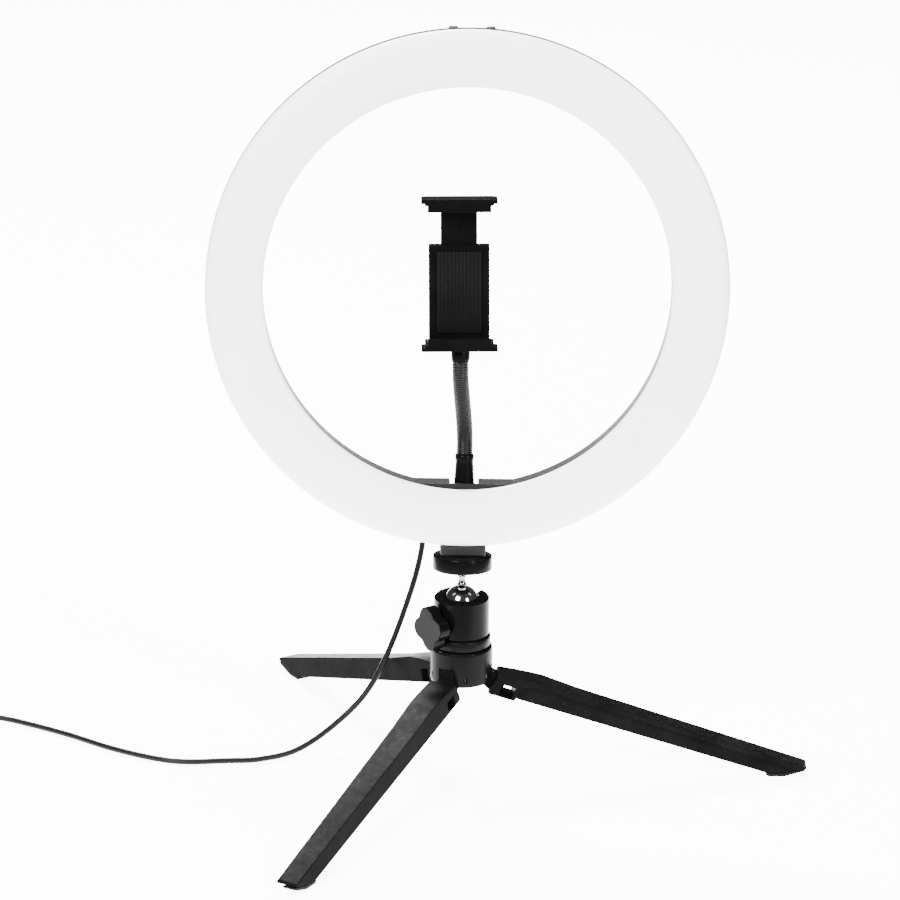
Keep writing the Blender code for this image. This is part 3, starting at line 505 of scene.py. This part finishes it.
def make_ring():
    face = [(130.0, 3.0), (130.0, 1.6), (129.6, 0.5), (128.9, -0.4), (127.6, -1.2), (125.6, -1.95),
            (123.0, -2.5),
            (119.8, -2.75), (115.8, -2.8), (111.8, -2.75), (108.4, -2.4), (105.6, -1.9), (103.4, -1.1),
            (102.1, -0.3),
            (101.4, 0.5), (101.4, 2.4), (103.0, 2.4), (103.1, 0.8), (106.5, -0.5), (116.0, -1.4),
            (125.6, -0.3),
            (128.4, 1.6), (128.4, 3.0)]
    weighted(show("diffuser_look", lathe("diffuser", face, 224, True), RING @ UP_TO_BACK, "diffuser",
                  "ring_head",
                  ["diffuser"], 50))
    tray = [(121.0, 17.5), (123.6, 17.2), (125.8, 16.3), (127.6, 14.9), (128.8, 13.2), (129.6, 11.2),
            (130.0, 8.8),
            (130.0, 3.6), (129.8, 3.3), (128.1, 3.3), (128.1, 8.8), (127.0, 12.3), (120.8, 15.8),
            (105.0, 15.8),
            (103.3, 14.3), (103.3, 2.9), (103.1, 2.7), (101.8, 2.7), (101.6, 2.9), (101.6, 15.9),
            (102.1, 17.0),
            (103.2, 17.5)]
    tools = [box("shoe", (-6.7, 2.0, 127.0), (6.7, 11.0, 134), 0)]
    spots = []
    for i in range(3):
        angle = math.radians(30 + 120 * i)
        spots.append(Matrix.Translation((114.0 * MM * math.cos(angle), 0, 114.0 * MM * math.sin(angle))))
        tools.append(placed(lathe("hole", [(0, 19), (2.7, 19), (2.7, 14), (0, 14)], 32),
                            spots[-1] @ UP_TO_BACK))
    relief = Matrix.Translation((-19.0 * MM, 0, -112.0 * MM)) @ UP_TO_BACK
    tools.append(placed(lathe("hole", [(0, 19), (3.0, 19), (3.0, 14), (0, 14)], 32), relief))
    housing = cut(placed(lathe("housing", tray, 224, True), UP_TO_BACK), *tools)
    weighted(show("housing_look", housing, RING, "housing", "ring_head", ["back_housing"], 40))
    for side in (-1, 1):
        tab = box("tab", (side * 9.2 - 2.3, 4.0, 127.5), (side * 9.2 + 2.3, 9.5, 130.6), 0.5)
        show(f"housing_tab_{(side + 3) // 2}", tab, RING, "housing", "ring_head")
    make_shelf()
    for i, spot in enumerate(spots):
        show(f"housing_screw_{i + 1}_look", cross_screw(2.3, 12.1, 17.0), RING @ spot @ UP_TO_BACK, "steel",
             "ring_head", [f"housing_screw_{i + 1}"])
    outline = [(0, 37.8), (1.7, 37.8), (2.1, 37.5)]
    for i in range(7):
        z = 36.6 - 2.1 * i
        r = 2.15 + 0.19 * i
        outline += [(r, z + 0.35), (r, z - 0.75), (r - 0.5, z - 0.95), (r - 0.45, z - 1.55)]
    outline += [(3.6, 21.5), (4.1, 20.9), (4.2, 20.4), (4.2, 17.9), (4.0, 17.8), (2.7, 17.8), (2.7, 14.6),
                (0, 14.6)]
    show("strain_relief_look", lathe("relief", outline, 48), RING @ relief, "rubber", "ring_head",
         ["strain_relief"])
    refined("mount_block", "housing", 0.4, 3)


def make_shelf():
    """Flat seat across the inside of the ring's lower edge, open behind for the neck."""
    half = math.degrees(math.acos(98.6 / 102.4))
    bm = bmesh.new()
    outline = []
    for i in range(25):
        angle = math.radians(270 - half + 2 * half * i / 24)
        outline.append((102.4 * math.cos(angle), 102.4 * math.sin(angle)))
    front = [bm.verts.new((x * MM, 2.9 * MM, z * MM)) for x, z in outline]
    back = [bm.verts.new((x * MM, 16.4 * MM, z * MM)) for x, z in outline]
    bm.faces.new(front)
    bm.faces.new(list(reversed(back)))
    for i in range(len(front)):
        j = (i + 1) % len(front)
        bm.faces.new((front[j], front[i], back[i], back[j]))
    shelf = cut(to_mesh(bm, "shelf"), box("notch", (-7.0, 4.6, -101.55), (7.2, 19, -90), 0))
    bm = bmesh.new()
    bm.from_mesh(shelf)
    edges = [e for e in bm.edges if len(e.link_faces) == 2 and e.calc_face_angle(0) > 0.6]
    bmesh.ops.bevel(bm, geom=edges, offset=0.25 * MM, segments=2, profile=0.5, affect="EDGES",
                    clamp_overlap=True)
    weighted(show("housing_shelf", to_mesh(bm, "shelf"), RING, "housing", "ring_head",
                  angle=45))


# ---------------------------------------------------------------- phone holder

NECK_BASE = Vector((0.15, 10.0, -80.4)) * MM
NECK_TOP = Vector((-3.2, -9.0, -34.2)) * MM


def neck_point(t):
    ease = t * t * (3 - 2 * t)
    flat = NECK_BASE.lerp(NECK_TOP, ease)
    return Vector((flat.x, flat.y, NECK_BASE.z + (NECK_TOP.z - NECK_BASE.z) * t))


def make_neck():
    """The gooseneck as a ribbed tube in three stretches."""
    cuts = (-0.085, 0.17, 0.51, 1.0)
    for i in range(3):
        count = round((cuts[i + 1] - cuts[i]) * 52 * 6)
        line, radii = [], []
        for k in range(count + 1):
            t = cuts[i] + (cuts[i + 1] - cuts[i]) * k / count
            point = neck_point(max(t, 0.0))
            if t < 0:
                point = point + (neck_point(0.01) - neck_point(0)) * (t / 0.01)
            line.append(RING @ point)
            radii.append((3.96 + 0.10 * math.cos(2 * math.pi * t * 40)) * MM)
        name = ("neck_lower", "neck_middle", "neck_upper")[i]
        obj = show(name + "_look", tube(name, line, radii, 32), Matrix.Identity(4), "neck", None, [name],
                   60)
        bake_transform(obj)
    base = RING @ Matrix.Translation((NECK_BASE.x, NECK_BASE.y, 0))
    ferrule = [(0, -84.7), (4.0, -84.7), (4.45, -84.9), (4.7, -85.4), (4.7, -87.1), (4.55, -87.5),
               (4.4, -87.9),
               (4.5, -90.0), (5.0, -99.0), (5.1, -100.3), (5.0, -100.9), (4.7, -101.2), (0, -101.2)]
    show("neck_ferrule_look", lathe("ferrule", ferrule, 64), base, "plastic", "ring_head", ["neck_ferrule"])
    top = RING @ Matrix.Translation((NECK_TOP.x, NECK_TOP.y, 0))
    collar = [(0, -27.5), (4.1, -27.5), (4.45, -27.7), (4.6, -28.2), (4.6, -32.1), (4.5, -32.8),
              (4.2, -33.9), (0, -33.9)]
    show("neck_collar_look", lathe("collar", collar, 64), top, "plastic", "neck_high", ["neck_collar"])


def make_clamp():
    refined("clamp_frame", "plastic", 0.35, 3)
    refined("clamp_cover", "plastic", 0.2, 2)
    refined("upper_jaw", "plastic", 0.35, 3)
    for name in ("lower_jaw_pad", "upper_jaw_pad", "back_pad"):
        ribbed_pad(name)
    for i, (x, z) in enumerate(((-12.2, -18.7), (12.2, 20.0))):
        place = CLAMP @ Matrix.Translation((x * MM, 0, z * MM)) @ UP_TO_BACK
        show(f"clamp_screw_{i + 1}_look", cross_screw(1.2, -4.6, -0.4, 0.5), place, "steel", "clamp",
             [f"clamp_screw_{i + 1}"])
    line, turns, count = [], 9, 216
    for i in range(count + 1):
        angle = 2 * math.pi * turns * i / count
        line.append(CLAMP @ (Vector((1.15 * math.cos(angle), -3.8 + 1.15 * math.sin(angle),
                                     -22.2 + 11.0 * i / count)) * MM))
    spring = show("jaw_spring_look", tube("spring", line, 0.22 * MM, 10), Matrix.Identity(4), "steel", None,
                  ["jaw_spring"], 60)
    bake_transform(spring)


def ribbed_pad(name):
    """A rubber pad with fine grooves across its length."""
    low, high = PADS[name]
    mesh = box(name, low, high, 0.2)
    tools = []
    size = [high[i] - low[i] for i in range(3)]
    thin = size.index(min(size))
    for k in range(1, 12):
        x = low[0] + size[0] * k / 12
        a, b = [x - 0.25, low[1] - 1, low[2] - 1], [x + 0.25, high[1] + 1, high[2] + 1]
        side = 1 if name == "lower_jaw_pad" else -1
        a[thin] = high[thin] - 0.25 if side > 0 else low[thin] - 1
        b[thin] = high[thin] + 1 if side > 0 else low[thin] + 0.25
        tools.append(box("groove", a, b, 0))
    show(name + "_look", cut(mesh, *tools), CLAMP, "rubber", frame["nodes"][name]["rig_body"], [name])


PADS = {
    "lower_jaw_pad": ((-15.5, -17.9, -23.6), (15.5, -7.7, -22.7)),
    "upper_jaw_pad": ((-15.5, -17.9, 44.6), (15.5, -7.7, 45.5)),
    "back_pad": ((-11, -8.7, -19.7), (11, -7.7, 21)),
}


# ---------------------------------------------------------------- stand and head

def make_head():
    sphere = [(8.7 * math.sin(math.pi * i / 48), 8.7 * math.cos(math.pi * i / 48)) for i in range(49)]
    sphere[0] = (0, 8.7)
    sphere[-1] = (0, -8.7)
    show("ball_look", lathe("ball", sphere, 96), HEAD, "chrome", "ball_joint", ["ball"], 60)
    stem = [(0, 15.7), (4.2, 15.7), (4.4, 15.5), (4.4, 14.9), (3.5, 14.3), (2.7, 13.9), (2.2, 13.3),
            (2.0, 12.6),
            (2.0, 9.9), (2.15, 9.5), (2.45, 9.2), (2.7, 9.0), (0, 9.0)]
    show("stem_look", lathe("stem", stem, 64), HEAD, "chrome", "stem_joint", ["stem"], 50)
    platform = [(14.1, 24.4), (14.5, 24.3), (14.75, 24.05), (14.9, 23.6), (14.9, 17.9), (14.8, 17.4),
                (14.45, 16.95),
                (13.9, 16.7), (3.4, 16.7), (3.4, 23.4), (12.9, 23.4), (12.9, 24.4)]
    show("platform_look", lathe("platform", platform, 96, True), HEAD, "gloss", "ring_head", ["platform"],
         50)
    pad = [(12.6, 24.5), (12.6, 23.7), (3.4, 23.7), (3.4, 24.7), (12.4, 24.7)]
    show("platform_pad_look", lathe("pad", pad, 96, True), HEAD, "rubber", "ring_head", ["platform_pad"])
    stud = [(0, 28.6), (2.4, 28.6)]
    for i in range(9):
        z = 28.0 - 1.27 * i * 0.95
        stud += [(3.1, z), (2.6, z - 0.6)]
    stud += [(3.1, 17.0), (3.1, 16.8), (0, 16.8)]
    show("stud_look", lathe("stud", stud, 48), HEAD, "steel", "ring_head", ["stud"], 20)
    collar = [(13.9, 79.4), (14.35, 79.25), (14.6, 78.8), (14.6, 74.6), (14.5, 74.2), (14.1, 74.0),
              (3.0, 74.0), (3.0, 79.4)]
    show("base_collar_look", lathe("collar", collar, 96, True), STAND, "plastic", "base", ["base_collar"],
         50)
    refined("head_body", "gloss", 0.3, 3)
    refined("lock_knob", "gloss", 0.35, 3, 25)
    refined("hub", "gloss", 0.3, 3)
    cup = [(0.0, 87.25), (2.2, 87.45), (4.0, 88.1), (6.0, 89.5), (7.2, 90.9), (7.9, 91.6), (8.6, 91.8),
           (8.6, 83.2),
           (0, 83.2)]
    show("pressure_cup_look", lathe("cup", cup, 64), STAND, "plastic", "base", ["pressure_cup"])


def make_legs():
    for name in ("right", "back", "front"):
        refined(f"leg_{name}", "leg", 0.25, 2)
        refined(f"foot_{name}", "rubber", 0.3, 2)
        refined(f"pin_{name}", "dark_steel", 0.25, 2)
    refined("hub_screw", "steel", 0.2, 2)
    refined("lock_screw", "steel", 0.2, 2)
    refined("threaded_insert", "brass", 0.15, 2)


# ---------------------------------------------------------------- controller and plug

def make_controls():
    place = SURFACE @ Matrix.Translation((-288.5 * MM, 151.0 * MM, 0)) @ Matrix.Rotation(math.radians(90),
            4, "Z")
    for name, x in (("button_power", -14.0), ("button_colour", 0.0), ("button_brightness", 14.0)):
        outline = [(0, 10.6), (1.2, 10.65), (2.0, 10.85), (2.4, 11.0), (2.7, 10.85), (2.9, 10.5),
                   (2.9, 5.4), (0, 5.4)]
        show(name + "_look", lathe(name, outline, 48), place @ Matrix.Translation((x * MM, 0, 0)), "button",
             frame["nodes"][name]["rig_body"], [name], 50)
    refined("controller_top", "plastic", 0.3, 3)
    refined("controller_bottom", "plastic", 0.3, 3)
    refined("plug_grip", "plastic", 0.4, 3)
    plug = SURFACE @ Matrix.Translation((-262.0 * MM, 176.0 * MM, 4.6 * MM)) @ Matrix.Rotation(math.pi, 4,
            "Z")
    shell = box("shell", (-6.0, 22.3, -2.25), (6.0, 34.0, 2.25), 0.3, 3)
    tools = [box("hollow", (-5.6, 23.0, -1.85), (5.6, 40.0, 1.85), 0)]
    for x in (-2.6, 2.6):
        tools.append(box("window", (x - 1.1, 28.2, -4), (x + 1.1, 30.4, 4), 0))
    show("plug_shell_look", cut(shell, *tools), plug, "steel", "base", ["plug_shell"], 40)
    tongue = box("tongue", (-5.3, 23.3, -1.55), (5.3, 33.2, 0.0), 0.15)
    show("plug_tongue_look", tongue, plug, "board", "base", ["plug_tongue"])
    for i, x in enumerate((-3.5, -1.0, 1.0, 3.5)):
        contact = box("contact", (x - 0.5, 24.5, -0.2), (x + 0.5, 32.6, 0.15), 0.05)
        show(f"plug_contact_{i + 1}", contact, plug, "brass", "base")
    refined("lead_tie", "rubber", 0.3, 2)
    for name in ("led_board", "reflector", "controller_board"):
        node = frame["nodes"][name]
        node.data.materials.clear()
        node.data.materials.append(MATERIALS["board"])


# ---------------------------------------------------------------- studio

def area_light(name, place, target, width, height, power, colour=(1, 1, 1)):
    data = bpy.data.lights.new(name, "AREA")
    data.shape = "RECTANGLE"
    data.size = width
    data.size_y = height
    data.energy = power
    data.color = colour
    light = bpy.data.objects.new(name, data)
    bpy.context.scene.collection.objects.link(light)
    light.location = place
    light.rotation_mode = "QUATERNION"
    light.rotation_quaternion = (Vector(target) - Vector(place)).to_track_quat("-Z", "Y")


def sheet(name, corners, height, colour, glow):
    """A flat sheet of the studio between two corners in metres; it glows evenly if glow is above 0."""
    (x0, y0), (x1, y1) = corners
    mesh = bpy.data.meshes.new(name)
    mesh.from_pydata([(x0, y0, height), (x1, y0, height), (x1, y1, height), (x0, y1, height)], [],
                     [(0, 1, 2, 3)])
    material, tree, shader = new_material(name)
    shader.inputs["Base Color"].default_value = (colour, colour, colour, 1)
    shader.inputs["Roughness"].default_value = 0.7
    shader.inputs["Specular IOR Level"].default_value = 0.2
    shader.inputs["Emission Color"].default_value = (1, 1, 1, 1)
    shader.inputs["Emission Strength"].default_value = glow
    mesh.materials.append(material)
    obj = bpy.data.objects.new(name, mesh)
    bpy.context.scene.collection.objects.link(obj)


def make_studio():
    """A light table under and behind the object, on a pale floor, with soft boxes in front, above and behind."""
    sheet("floor", FLOOR_CORNERS, FLOOR_Z, FLOOR_COLOUR, 0.0)
    sheet("light_table", TABLE_CORNERS, TABLE_Z, TABLE_COLOUR, TABLE_GLOW)
    world = bpy.data.worlds.new("studio")
    world.use_nodes = True
    background = world.node_tree.nodes["Background"]
    background.inputs["Color"].default_value = (1, 1, 1, 1)
    background.inputs["Strength"].default_value = WORLD_LIGHT
    bpy.context.scene.world = world
    for light in SOFT_BOXES:
        area_light(*light)


place_camera()
MATERIALS = make_materials()
main_lead, main_line, end_lead, end_line = lay_lead()
make_ring()
make_neck()
make_clamp()
make_head()
make_legs()
make_controls()
make_studio()
bpy.context.view_layer.update()
